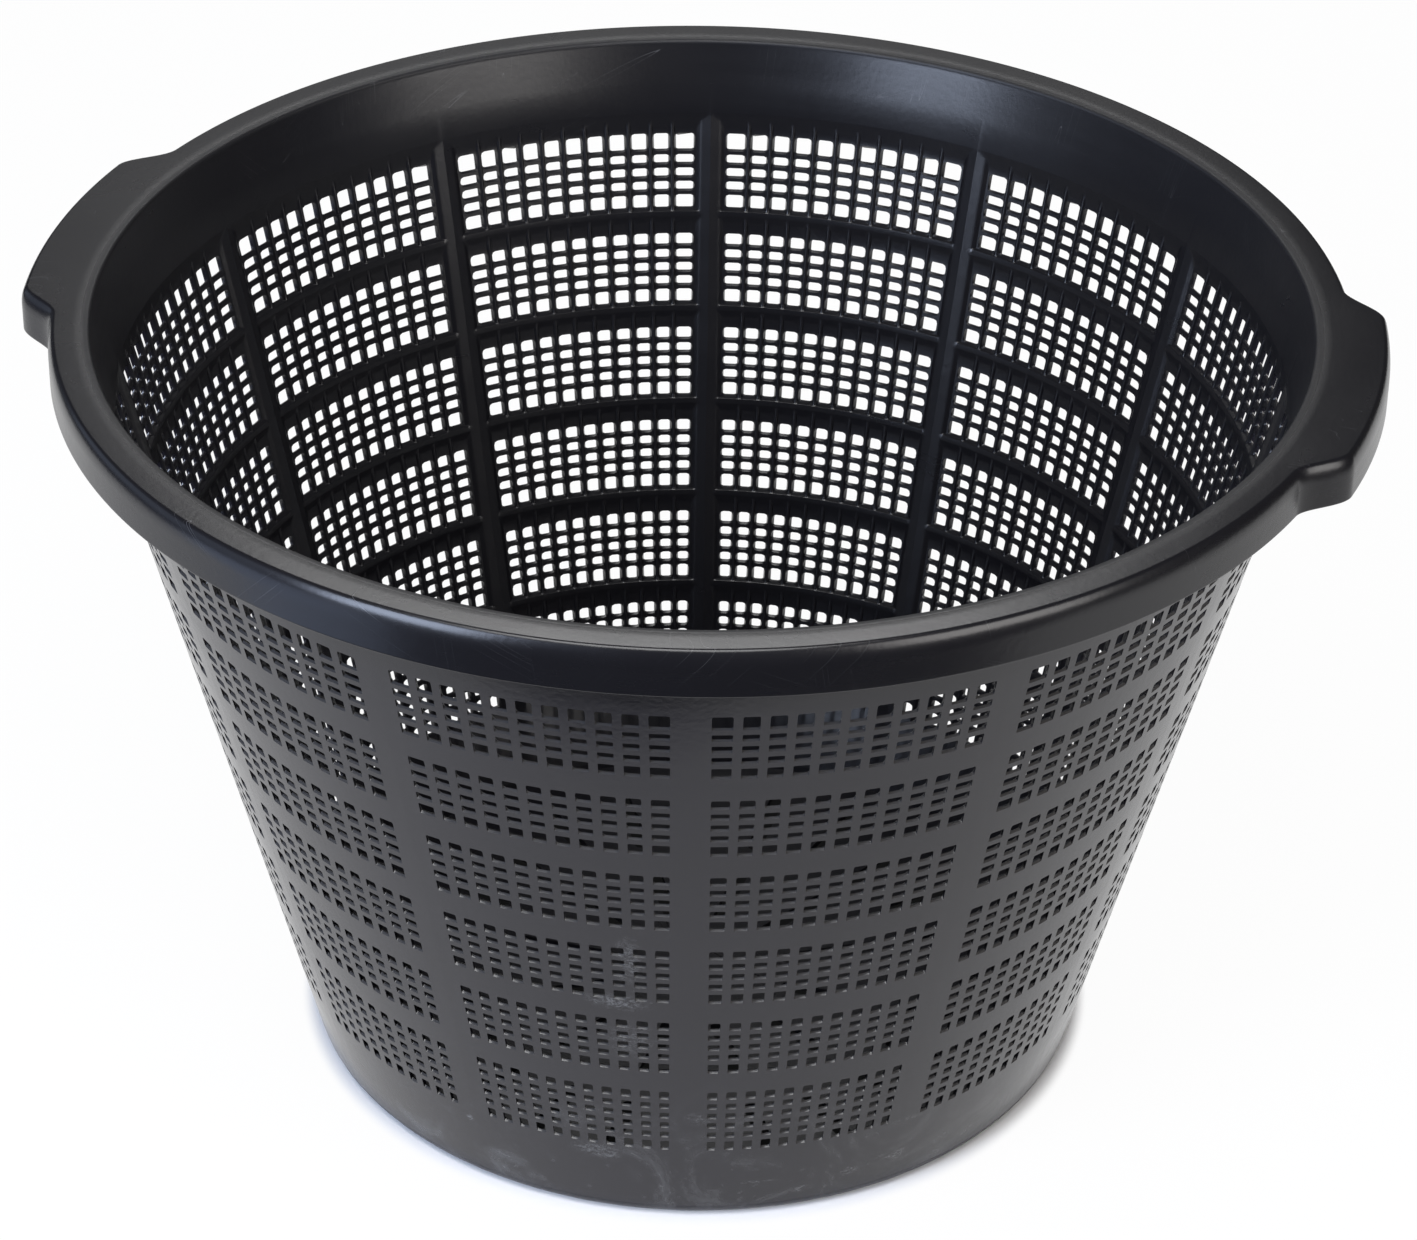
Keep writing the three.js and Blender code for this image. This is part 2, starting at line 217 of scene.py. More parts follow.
# Half section of a heavy rib, as distance from its middle and height over the skin: a low roof on bevelled
# sides.
heavy_rib = np.array([
    [0, rib_proud], [0.9, 1.34], [1.8, 1.18], [2.6, 1.03], [3.3, 0.9], [3.6, 0.78], [4.2, 0.36], [4.7, 0]])


def column_lines(strip_lines, bar_lines, corner):
    """Column lines across a bay and the first line of each hole. strip_lines are the offsets from a heavy
    rib's middle to its first hole, bar_lines the offsets across a bar, and corner the rounding of a hole."""
    lines = [(-bay_half, offset) for offset in strip_lines]
    starts = []
    for angle in bar_angles:
        starts.append(len(lines) - 1)
        lines += [(lines[-1][0], lines[-1][1] + corner), (angle, bar_lines[0] - corner)]
        lines += [(angle, offset) for offset in bar_lines]
    starts.append(len(lines) - 1)
    lines += [(lines[-1][0], lines[-1][1] + corner), (bay_half, -strip_lines[-1] - corner)]
    lines += [(bay_half, -offset) for offset in reversed(strip_lines)]
    return np.array(lines), np.array(starts)


def row_lines(heights, low_corner, high_corners, between):
    """Row lines up a bay as (height, depth) pairs and the first line of each hole. A hole's corners are
    rounded by low_corner at its foot and by its own entry of high_corners at its head. between[i] holds the
    lines below hole row i, and its last entry those above the top row."""
    lines, starts = [], []
    for (bottom, top), below, high_corner in zip(heights, between, high_corners):
        lines += below
        starts.append(len(lines))
        lines += [(z, skin) for z in (bottom, bottom + low_corner, top - high_corner, top)]
    return np.array(lines + between[-1]), np.array(starts)


outer_columns, outer_starts = column_lines(
    [0, beside_joint, strip_half], [-bar_half, bar_half], outer_corner)
core_bar_half, core_strip_half = bar_half - taper_bar, strip_half - taper_strip
rib_offsets = np.array([0.9, 0.78, 0.45]) / 0.9 * core_bar_half
inner_columns, inner_starts = column_lines(
    [0, *heavy_rib[1:, 0], core_strip_half], [*-rib_offsets, 0, *rib_offsets[::-1]], inner_corner)

tier_tops = np.cumsum(rows_per_tier) - 1
at_tier_top = np.isin(np.arange(len(hole_heights)), tier_tops)
outer_rows, outer_row_starts = row_lines(
    hole_heights - np.array([edge_drop, 0]), foot_corner,
    np.where(at_tier_top, top_head_corner, head_corner),
    [[(wall_foot, 0)]] + [[] for _ in hole_heights[1:]] + [[(height - rim_depth, 0)]])


def slope_rows(foot, head, depth):
    """Rows up a slope of the inner face, from the skin to a depth, one for each step of the heavy ribs'
    section, so that the ribs cut the slope along clean lines."""
    steps = np.unique(np.concatenate([heavy_rib[:, 1], [fine_rib * 0.6, fine_rib, depth]]))
    steps = steps[steps <= depth]
    return [(foot + (head - foot) * step / depth, skin + step) for step in steps]


slope_foot, band_foot = height - 31.0, height - 24.6    # the inner face slopes in to the upper band between
band_lean = 0.1                      # how much thinner the upper band is at its top


def band_depth(z):
    """Depth of the upper band's inner face at height z: it leans out a little more than the wall."""
    return skin + rib_proud - band_lean * (z - band_foot) / (height - band_foot)


foot_band = 2.5                      # thickness of the plain band at the foot
foot_band_end, foot_slope_end = first_holes - 3, first_holes - 1.6      # it thins to the skin between these
ledge_face, ledge_slope, ledge_round = 1.85, 3.25, 0.2
ledge_gap = 0.45                     # from a ledge up to the foot of the hole over it
between = [[] for _ in range(len(hole_heights) + 1)]
between[0] = [(wall_foot, foot_band), (foot_band_end, foot_band), (foot_slope_end, skin)]
for row in tier_tops[:-1] + 1:
    top = hole_heights[row][0] - ledge_gap
    face = top - ledge_face
    between[row] = [
        *slope_rows(face - ledge_slope, face, ledge_proud),
        (top - ledge_round, skin + ledge_proud), (top, skin + ledge_proud - ledge_round)]
between[-1] = [*slope_rows(slope_foot, band_foot, rib_proud),
               (height - rim_depth, band_depth(height - rim_depth))]
inner_heights = hole_heights + np.array([-taper_down, taper_up])
inner_rows, inner_row_starts = row_lines(
    inner_heights, inner_corner, [inner_corner] * len(inner_heights), between)


def rib_depth(angle, offset):
    """Depth of the inner face across a bay, from the skin inwards: a low roof with bevelled sides over the
    heavy ribs at the ends, a half ellipse over each bar, and the plain skin elsewhere."""
    across = np.abs(offset)
    at_end = np.abs(np.abs(angle) - bay_half) < 1e-6
    bevel = skin + np.interp(across, heavy_rib[:, 0], heavy_rib[:, 1])
    ridge = skin + fine_rib * np.sqrt(np.clip(1 - (across / core_bar_half) ** 2, 0, 1))
    return np.where(at_end, bevel, ridge)


def place_outer(bay_middle):
    """Places a column line and a row line on the outside of the wall."""
    def place(column, row):
        radius = wall_radius(row[..., 0])
        return polar(radius, bay_middle + column[..., 0] + column[..., 1] / radius, row[..., 0])
    return place


def place_inner(bay_middle):
    """Places a column line and a row line on the inside of the wall, at the deeper of the row's own depth and
    the depth of the ribs."""
    def place(column, row):
        depth = np.maximum(row[..., 1], rib_depth(column[..., 0], column[..., 1]))
        radius = wall_radius(row[..., 0]) - skin
        angle = bay_middle + column[..., 0] + column[..., 1] / radius
        return polar(wall_radius(row[..., 0]) - depth, angle, row[..., 0])
    return place


def bar_necks(top_holes, random):
    """Returns the function that places the loops halfway through the holes of a bay. The upper edge of every
    bar is rounded off outside, so a loop's foot is lifted, by less up the sides: lift (1 - 2 share) for a
    share of the hole's height below a half. Thin flash from the mould hangs ragged into some of the top
    holes."""
    def neck(mouths, cores):
        halfway = (mouths + cores) / 2
        z = mouths[..., 2]
        foot, head = z.min(axis=1, keepdims=True), z.max(axis=1, keepdims=True)
        share = (z - foot) / (head - foot)
        lift = edge_rise + (edge_drop + taper_down) / 2
        flash = random.uniform(*flash_along, z.shape) * random.uniform(*flash_depth, foot.shape)
        halfway[..., 2] += lift * np.clip(1 - 2 * share, 0, 1)
        halfway[..., 2] -= np.where(top_holes[:, None] & (share > 0.99), np.clip(flash, 0, 1), 0)
        return halfway
    return neck


def node(tree, kind, inputs=None, **settings):
    """Adds a shader node. inputs maps a socket to its value, or to another node's output, which is linked to
    it."""
    made = tree.nodes.new("ShaderNode" + kind)
    for name, value in settings.items():
        setattr(made, name, value)
    for socket, value in (inputs or {}).items():
        if isinstance(value, bpy.types.NodeSocket):
            tree.links.new(value, made.inputs[socket])
        else:
            made.inputs[socket].default_value = value
    return made


def maths(tree, operation, *values):
    """Output of a Math node on one to three numbers or sockets. It is clamped to 0..1 where the name ends in
    _CLAMPED."""
    clamp = operation.endswith("_CLAMPED")
    operation = operation.replace("_CLAMPED", "")
    return node(tree, "Math", dict(enumerate(values)), operation=operation, use_clamp=clamp).outputs[0]


def ramp(tree, value, low_in, high_in, low_out=0.0, high_out=1.0):
    """Smooth step of a value from low_out at low_in to high_out at high_in."""
    inputs = {"Value": value, "From Min": low_in, "From Max": high_in, "To Min": low_out, "To Max": high_out}
    return node(tree, "MapRange", inputs, interpolation_type="SMOOTHSTEP").outputs["Result"]


def blend(tree, share, first, second):
    """Colour mixed from first to second by share."""
    mixed = node(tree, "Mix", data_type="RGBA")
    for socket, value in ((mixed.inputs[0], share), (mixed.inputs[6], first), (mixed.inputs[7], second)):
        if isinstance(value, bpy.types.NodeSocket):
            tree.links.new(value, socket)
        else:
            socket.default_value = value
    return mixed.outputs[2]


def new_group(name, inputs, outputs):
    """An empty shader group with named sockets. Returns the group, its inputs' sockets and its output
    node."""
    group = bpy.data.node_groups.new(name, "ShaderNodeTree")
    for socket_name, kind, value in inputs:
        socket = group.interface.new_socket(socket_name, in_out="INPUT", socket_type="NodeSocket" + kind)
        socket.default_value = value
    for socket_name, kind in outputs:
        group.interface.new_socket(socket_name, in_out="OUTPUT", socket_type="NodeSocket" + kind)
    return group, group.nodes.new("NodeGroupInput").outputs, group.nodes.new("NodeGroupOutput")


def apart(tree, vector):
    """A vector and its three numbers."""
    return vector, node(tree, "SeparateXYZ", {0: vector}).outputs


def object_place(tree):
    """Object coordinates and their three numbers, in metres."""
    return apart(tree, node(tree, "TexCoord").outputs["Object"])


def from_axis(tree, x, y):
    """Distance from the basket's axis, in metres."""
    squares = maths(tree, "ADD", maths(tree, "MULTIPLY", x, x), maths(tree, "MULTIPLY", y, y))
    return maths(tree, "SQRT", squares)


def around_place(tree):
    """Coordinates that follow the wall, the distance from the axis and the height, all in metres. The first
    coordinate is the distance round the wall at its mean radius."""
    _, (x, y, z) = object_place(tree)
    mean_radius = 0.16
    round_wall = maths(tree, "MULTIPLY", maths(tree, "ARCTAN2", x, y), mean_radius)
    reach = from_axis(tree, x, y)
    return node(tree, "CombineXYZ", {0: round_wall, 1: reach, 2: z}).outputs[0], reach, z


def noise(tree, place, scale, detail=3.0, roughness=0.55, distortion=0.0, stretch=(1, 1, 1)):
    """Noise value at a place, with the place first stretched along its three axes."""
    stretched = node(tree, "VectorMath", {0: place, 1: stretch}, operation="MULTIPLY").outputs[0]
    inputs = {"Vector": stretched, "Scale": scale, "Detail": detail, "Roughness": roughness,
              "Distortion": distortion}
    return node(tree, "TexNoise", inputs).outputs["Fac"]


# Moulded skin: cloudy pigment, flow streaks round the wall and a very fine orange peel.
moulded_skin, given, result = new_group(
    "moulded_skin", [("Grain depth", "Float", 1.0)],
    [("Cloud", "Float"), ("Streak", "Float"), ("Height", "Float")])
place, _ = object_place(moulded_skin)
around, _, _ = around_place(moulded_skin)
cloud = noise(moulded_skin, place, 24, detail=5, roughness=0.6, distortion=0.6)
streak = noise(moulded_skin, around, 30, detail=4, roughness=0.6, distortion=0.2, stretch=(0.5, 1, 7))
peel = noise(moulded_skin, place, 520, detail=2, roughness=0.5)
wave = noise(moulded_skin, place, 60, detail=2, roughness=0.5)
height_sum = maths(moulded_skin, "ADD", maths(moulded_skin, "MULTIPLY", peel, given["Grain depth"]),
                   maths(moulded_skin, "MULTIPLY", wave, 1.5))
for socket, value in (("Cloud", cloud), ("Streak", streak), ("Height", height_sum)):
    moulded_skin.links.new(value, result.inputs[socket])

# Hairline scratches: three sets of thin slanting lines, each kept only in scattered patches.
hairlines, given, result = new_group("hairline_scratches", [("Amount", "Float", 1.0)], [("Mask", "Float")])
around, _, _ = around_place(hairlines)
lines = []
for turn, scale in ((0.5, 60), (-0.9, 50), (1.45, 75)):
    turned = node(hairlines, "VectorRotate", {"Vector": around, "Angle": turn}, rotation_type="Y_AXIS")
    turned = turned.outputs[0]
    thread = noise(hairlines, turned, scale, detail=0, roughness=0.4, stretch=(0.06, 1, 6))
    off_middle = maths(hairlines, "ABSOLUTE", maths(hairlines, "SUBTRACT", thread, 0.5))
    thin = ramp(hairlines, off_middle, 0.006, 0.0)
    clouds = noise(hairlines, turned, scale * 0.7, detail=2, roughness=0.5, stretch=(0.5, 1, 1))
    lines.append(maths(hairlines, "MULTIPLY", thin, ramp(hairlines, clouds, 0.60, 0.72)))
all_lines = maths(hairlines, "MAXIMUM", maths(hairlines, "MAXIMUM", lines[0], lines[1]), lines[2])
hairlines.links.new(maths(hairlines, "MULTIPLY_CLAMPED", all_lines, given["Amount"]), result.inputs["Mask"])

# Scuff: a soft-edged patch of pale scrape marks round one point of the wall.
scuff, given, result = new_group(
    "pale_scuff",
    [("Centre", "Vector", (0, 0, 0)), ("Size", "Vector", (1, 1, 1)), ("Strength", "Float", 1.0)],
    [("Mask", "Float")])
place, _ = object_place(scuff)
away = node(scuff, "VectorMath", {0: place, 1: given["Centre"]}, operation="SUBTRACT").outputs[0]
away = node(scuff, "VectorMath", {0: away, 1: given["Size"]}, operation="DIVIDE").outputs[0]
away = node(scuff, "VectorMath", {0: away}, operation="LENGTH").outputs["Value"]
edge_noise = noise(scuff, place, 130, detail=4, roughness=0.7, distortion=1.0)
ragged = maths(scuff, "ADD", away, maths(scuff, "MULTIPLY", edge_noise, 1.3))
marks = noise(scuff, place, 420, detail=5, roughness=0.75, distortion=0.8, stretch=(1, 1, 1.8))
within = maths(scuff, "MULTIPLY", ramp(scuff, ragged, 1.6, 0.7), ramp(scuff, marks, 0.42, 0.66))
scuff.links.new(maths(scuff, "MULTIPLY_CLAMPED", within, given["Strength"]), result.inputs["Mask"])

# Dried pond dust: thin pale smears that get denser towards the base of the wall.
dust, given, result = new_group(
    "dried_dust", [("Amount", "Float", 1.0), ("Top", "Float", 0.06)], [("Mask", "Float")])
place, (_, _, z) = object_place(dust)
low_down = ramp(dust, z, given["Top"], 0.004)
smear = ramp(dust, noise(dust, place, 26, detail=6, roughness=0.72, distortion=1.6), 0.5, 0.78)
speck = ramp(dust, noise(dust, place, 330, detail=3, roughness=0.6), 0.6, 0.75)
both = maths(dust, "ADD", maths(dust, "MULTIPLY", smear, 0.8), maths(dust, "MULTIPLY", speck, 0.35))
both = maths(dust, "MULTIPLY", both, low_down)
dust.links.new(maths(dust, "MULTIPLY_CLAMPED", both, given["Amount"]), result.inputs["Mask"])


def group(tree, tree_group, **inputs):
    """Places a node group in a material with its own values."""
    return node(tree, "Group", {name.replace("_", " "): value for name, value in inputs.items()},
                node_tree=tree_group).outputs


# the ungreyed plastic's colour, also used as painted shade on the wall under the skirt
fresh_or_shaded_charcoal, greyed_charcoal = (0.0065, 0.0063, 0.0080, 1), (0.0112, 0.0103, 0.0140, 1)
# sill_painted_light is painted light on the bars' upward edges; pale_wear and scratch_grey are real wear
sill_painted_light, pale_wear, scratch_grey = (0.052, 0.050, 0.050, 1), (0.16, 0.162, 0.165, 1), (0.11, 0.11, 0.115, 1)
inside_roughness = 0.30
roughness_spread = 0.10              # how much the streaks, and the clouds too, change the roughness
worn_roughness, lip_roughness = 0.35, 0.22           # added where the skin is worn and on the mouth's lip
inside_from, inside_to = 0.6, 1.1    # depths in the wall between which its outside turns into its inside
shade_from, shade_to = 22.0, 4.0     # below the skirt, where painted shade turns the greyed wall dark
dust_top = 0.075                     # height in metres up to which dust lies on the wall
peel_depth = 0.06 * MM


def charcoal_plastic(name, outside_roughness, haze, scratches, dust_amount, scuffs=(), of_rim=False,
                     ior=1.46):
    """Polypropylene coloured through with carbon black. haze is how far its outside has greyed, while the
    inside and the rim stay dark, and the wall under the skirt is painted dark as the skirt's shade. scuffs
    are (centre, size, strength) in millimetres. The rim has a rougher lip where the mould parts, and the wall
    has painted light on the upper edges of its bars."""
    material = bpy.data.materials.new(name)
    material.use_nodes = True
    tree = material.node_tree
    shader = tree.nodes["Principled BSDF"]
    shader.inputs["IOR"].default_value = ior
    skin_of = group(tree, moulded_skin, Grain_depth=1.0)
    lines_of = group(tree, hairlines, Amount=scratches)["Mask"]
    _, reach, z = around_place(tree)
    slope = (wall_top_radius - base_radius) / height
    cone = maths(tree, "MULTIPLY_ADD", z, slope, base_radius * MM)
    inside = ramp(tree, maths(tree, "SUBTRACT", cone, reach), inside_from * MM, inside_to * MM)
    outside = maths(tree, "SUBTRACT", 1.0, inside)
    shade = maths(tree, "ADD", maths(tree, "MULTIPLY", skin_of["Cloud"], 0.65),
                  maths(tree, "MULTIPLY", skin_of["Streak"], 0.35))
    # painted shade: the greyed wall is darkened just below the skirt, as if in its shadow
    painted_skirt_shade = ramp(
        tree, z, (height - rim_depth - shade_from) * MM, (height - rim_depth - shade_to) * MM)
    unhazed_or_shaded = maths(tree, "MAXIMUM", inside, painted_skirt_shade)
    hazed = maths(tree, "MULTIPLY", ramp(tree, shade, 0.2, 0.7, 0.7, 1.15), haze)
    hazed = maths(tree, "MULTIPLY", hazed, maths(tree, "SUBTRACT", 1.0, unhazed_or_shaded))
    colour = blend(tree, hazed, fresh_or_shaded_charcoal, greyed_charcoal)
    if not of_rim:                       # painted light on the upper edges of the bars outside
        _, (_, _, upward) = apart(tree, node(tree, "NewGeometry").outputs["Normal"])
        # painted light: upward-facing surfaces outside are lightened towards a pale grey
        sill_light_share = maths(tree, "MULTIPLY", ramp(tree, upward, 0.25, 0.6), outside)
        colour = blend(tree, sill_light_share, colour, sill_painted_light)
    worn = group(tree, dust, Amount=dust_amount, Top=dust_top)["Mask"]
    worn = maths(tree, "MULTIPLY", worn, outside)
    for centre, size, strength in scuffs:
        centre = tuple(value * MM for value in centre)
        size = tuple(value * MM for value in size)
        scraped = group(tree, scuff, Centre=centre, Size=size, Strength=strength)["Mask"]
        worn = maths(tree, "MAXIMUM", worn, scraped)
    colour = blend(tree, worn, colour, pale_wear)
    colour = blend(tree, maths(tree, "MULTIPLY", lines_of, 0.5), colour, scratch_grey)
    roughness = maths(tree, "MULTIPLY_ADD", inside, inside_roughness - outside_roughness, outside_roughness)
    for pattern in ("Streak", "Cloud"):
        least = maths(tree, "SUBTRACT", roughness, roughness_spread / 2)
        roughness = maths(tree, "MULTIPLY_ADD", skin_of[pattern], roughness_spread, least)
    roughness = maths(tree, "MULTIPLY_ADD", worn, worn_roughness, roughness)
    bump_height = skin_of["Height"]
    if of_rim:
        lip_edge = ramp(tree, reach, (wall_top_radius - 0.2) * MM, (wall_top_radius - 1.6) * MM)
        top_only = ramp(tree, z, (height - 2.0) * MM, (height - 0.8) * MM)
        lip = maths(tree, "MULTIPLY", lip_edge, top_only)
        place, _ = object_place(tree)
        chatter = maths(tree, "MULTIPLY", lip, noise(tree, place, 900, detail=4, roughness=0.7))
        roughness = maths(tree, "MULTIPLY_ADD", lip, lip_roughness, roughness)
        bump_height = maths(tree, "MULTIPLY_ADD", chatter, 3.0, bump_height)
    bump = node(tree, "Bump", {"Height": bump_height, "Distance": peel_depth, "Strength": 0.5})
    tree.links.new(colour, shader.inputs["Base Color"])
    tree.links.new(maths(tree, "MULTIPLY_CLAMPED", roughness, 1.0), shader.inputs["Roughness"])
    tree.links.new(bump.outputs[0], shader.inputs["Normal"])
    return material


wall_scuffs = [
    ((16, -156, 118), (5, 9, 17), 0.55), ((11, -150, 101), (13, 9, 5), 0.7),
    ((14, -146, 84), (10, 9, 13), 0.35), ((0, -133, 29), (11, 9, 5), 0.6),
    ((33, -134, 48), (6, 7, 4), 0.4), ((61, -113, 10), (7, 6, 2.2), 0.5),
    ((76, -105, 14), (6, 6, 3), 0.45), ((88, -96, 15), (7, 7, 4), 0.5),
    ((101, -82, 15), (5, 6, 3), 0.4), ((48, -120, 16), (13, 5, 1.2), 0.5),
    ((106, -73, 11), (5, 6, 4), 0.4), ((-42, -126, 28), (2, 2, 2), 0.7),
    ((91, -98, 32), (8, 8, 1.5), 0.35)]
wall_plastic = charcoal_plastic("wall_charcoal_plastic", outside_roughness=0.19, haze=1.0, scratches=0.12,
                                dust_amount=0.42, scuffs=wall_scuffs)

all_open = np.ones((holes_across, len(hole_heights)), dtype=bool)
top_holes = np.tile(np.arange(len(hole_heights)) == len(hole_heights) - 1, holes_across)
random = np.random.default_rng(4)
for bay in range(bays):
    middle = bay_turn + 2 * bay_half * bay
    points, faces, *grids = pierced_sheet(
        (outer_columns, outer_rows, outer_starts, outer_row_starts, place_outer(middle)),
        (inner_columns, inner_rows, inner_starts, inner_row_starts, place_inner(middle)),
        all_open, bar_necks(top_holes, random))
    number = f"{bay + 1:02d}"
    piece = make_mesh(f"wall_bay_{number}", points, faces + closed_borders(*grids))
    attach(piece, "root")
    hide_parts(f"bay_frame_{number}", f"bay_comb_{number}")
    piece.data.materials.append(wall_plastic)


# Rim and handles. The wall's top edge is turned over outwards as a channel, open below, and two stretches of
# it are drawn out wider for the hands. All of it is moulded with the wall, and its top and skirt are smooth.

handle_length, end_curve = 99.0, 18.0
handle_reach = high[0] - rim_radius
handle_half = math.asin(handle_length / 2 / rim_radius)
end_curve_half = end_curve / 2 / rim_radius
plate, skirt = 2.0, 1.8
lip_round, skirt_round = 1.2, 0.5
edge_across, edge_down = 2.2, 6.0     # the outer edge is a quarter of an ellipse, tight at the top
lip_slope, lip_slope_end = math.radians(4), rim_radius - 8.0     # the lip falls gently inside this radius


def rim_outline(angle):
    """Outer radius of rim and handles round the axis: the rim's circle, plus the handles' reach faded in and
    out by a smoothstep over each end curve."""
    from_handle = np.abs(np.arcsin(np.sin(angle)))
    share = np.clip((handle_half + end_curve_half - from_handle) / (2 * end_curve_half), 0, 1)
    return rim_radius + handle_reach * share * share * (3 - 2 * share)


def outline_frame(angle):
    """Point and outward normal of the outline at an angle, the normal from the outline's slope."""
    step = 1e-4
    point = polar(rim_outline(angle), angle, 0)
    ahead, behind = (polar(rim_outline(turn), turn, 0) for turn in (angle + step, angle - step))
    along = ahead - behind
    normal = np.stack([along[:, 1], -along[:, 0], 0 * angle], axis=-1)
    return point, normal / np.linalg.norm(normal, axis=1, keepdims=True)


def arc(centre, radius, start, end, steps, squash=1.0):
    """Points along an arc, by equal angles in degrees. squash is its width against its height."""
    turn = np.radians(np.linspace(start, end, steps + 1))
    return np.stack([centre[0] + squash * radius * np.cos(turn), centre[1] + radius * np.sin(turn)], axis=1)


rim_foot = height - rim_depth
under = height - plate
under_round = 1.0                     # where the skirt and the leg meet the plate
beside = 0.3                          # a narrow strip beside each rounding keeps the flat faces' shading flat

# Outside of the channel, as distance outwards from the outline and height, from the top down and back up
on_edge = np.concatenate([
    [[-edge_across - beside, height]],
    arc((-edge_across, height - edge_down), edge_down, 90, 0, 12, edge_across / edge_down),
    [[0, height - edge_down - beside], [0, rim_foot + skirt_round + beside]],
    arc((-skirt_round, rim_foot + skirt_round), skirt_round, 0, -90, 3),
    arc((-skirt + skirt_round, rim_foot + skirt_round), skirt_round, -90, -180, 3),
    [[-skirt, rim_foot + skirt_round + beside], [-skirt, under - under_round - beside]],
    arc((-skirt - under_round, under - under_round), under_round, 0, 90, 2)])

# Leg and mouth, as radius and height, from under the plate down the leg and up to the mouth's edge
leg_out = wall_radius(under - under_round)
leg_swell = 0.2                       # how much thicker the leg is under the plate
leg_foot_out = wall_radius(rim_foot)
leg_lean = 0.27                       # how far the leg's inside leans out for each millimetre up
lip_in = wall_radius(height - lip_round) - band_depth(height)
lip_fall = math.tan(lip_slope) * (lip_slope_end - lip_in - lip_round)
lip_middle = height - lip_fall - lip_round / math.cos(lip_slope)
slope_blend = 0.5                     # the lip's slope and the flat top meet over this much either way
on_wall = np.concatenate([
    [[leg_out + under_round, under], [leg_out + leg_swell, under - under_round], [leg_foot_out, rim_foot]],
    [[leg_foot_out - band_depth(rim_foot), rim_foot], [lip_in - leg_lean * beside, lip_middle - beside]],
    arc((lip_in + lip_round, lip_middle), lip_round, 180, 90 + math.degrees(lip_slope), 6),
    [[lip_slope_end - slope_blend, height - slope_blend * math.tan(lip_slope)],
     [lip_slope_end + slope_blend, height]]])


station_step = 0.75                   # degrees round the rim from one station to the next
fine_reach, fine_count = 1.3, 41      # finer ones either way through an end curve, in halves of its length
least_step = 0.1                      # degrees, from a fine station to the even ones that stay


def stations():
    """Angles round the rim in even steps, with finer ones through the handles' end curves in place of the
    even ones there."""
    even = np.radians(np.arange(0, 360, station_step))
    ends = [turn + side * handle_half for turn in (0, math.pi) for side in (-1, 1)]
    fine_steps = np.linspace(-fine_reach, fine_reach, fine_count) * end_curve_half
    fine = np.concatenate([end + fine_steps for end in ends])
    apart_by = np.abs(np.angle(np.exp(1j * (even[:, None] - fine[None, :]))))
    keep = np.min(apart_by, axis=1) > math.radians(least_step)
    return np.sort(np.mod(np.concatenate([even[keep], fine]), 2 * math.pi))


angles = stations()
point, normal = outline_frame(angles)
skirt_part = point[:, None, :] + normal[:, None, :] * on_edge[None, :, :1]
skirt_part[..., 2] = on_edge[None, :, 1]
wall_part = polar(on_wall[None, :, 0], angles[:, None], on_wall[None, :, 1])
rim_points = np.concatenate([skirt_part, wall_part], axis=1)
n_round, n_profile = rim_points.shape[:2]
index = np.arange(n_round * n_profile).reshape(n_round, n_profile)
next_station, next_point = np.roll(index, -1, axis=0), np.roll(index, -1, axis=1)
rim_quads = np.stack([index, next_point, np.roll(next_point, -1, axis=0), next_station], axis=-1)
rim = make_mesh("rim_with_handles", rim_points.reshape(-1, 3), [rim_quads.reshape(-1, 4)])
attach(rim, "root")
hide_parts("rim_front", "rim_back", "handle_left", "handle_right")
rim_plastic = charcoal_plastic("rim_charcoal_plastic", outside_roughness=0.26, haze=0.0, scratches=1.0,
                               dust_amount=0.0, of_rim=True)
rim.data.materials.append(rim_plastic)


# Floor. The moulding's bottom closes it as a flat plate with a rounded outer corner, which runs up into the
# wall, and radial drain slots. The film gate sits under its middle, where nothing shows in use.

floor_top = 2.0
hub_radius, flat_radius = 24.0, 116.0
corner_round = 6.3
slot_half = 2.5
slot_corner = 1.6
outer_slots = 2 * bays
slot_gap = 2 * math.pi / outer_slots
slot_angles = bay_turn + np.arange(outer_slots) * slot_gap
slot_rows = [(30.0, 62.0), (74.0, 110.0)]
foot_radius = wall_radius(wall_foot)
draft = math.atan((wall_top_radius - base_radius) / height)
corner_out = arc((wall_radius(corner_round) - corner_round / math.cos(draft), corner_round), corner_round,
                 -90, -math.degrees(draft), 8)
between_slots = (0.35, 0.5, 0.65)     # shares of the way to the next slot, where lines keep the edge round


def floor_columns():
    """Column lines round the whole floor: four for each slot, and three between that keep the edge round."""
    lines = []
    for angle in slot_angles:
        lines += [(angle, -slot_half), (angle, -slot_half + slot_corner), (angle, slot_half - slot_corner)]
        lines += [(angle, slot_half), *((angle + slot_gap * share, 0) for share in between_slots)]
    lines.append((slot_angles[0] + 2 * math.pi, -slot_half))
    return np.array(lines)


def floor_rows(z, outside):
    """Row lines from the hub outwards as (radius, height) pairs, four for each ring of slots."""
    lines = [(hub_radius, z)]
    for inner_end, outer_end in slot_rows:
        lines += [(r, z) for r in (inner_end, inner_end + slot_corner, outer_end - slot_corner, outer_end)]
    return np.array(lines + outside)


def place_floor(column, row):
    """Places a column line and a row line on the floor. The offset is measured along the circle at that
    radius, and no further out than the slots."""
    radius = np.maximum(row[..., 0], 1)
    reach = np.minimum(radius, slot_rows[1][1])
    return polar(row[..., 0], column[..., 0] + column[..., 1] / reach, row[..., 1])


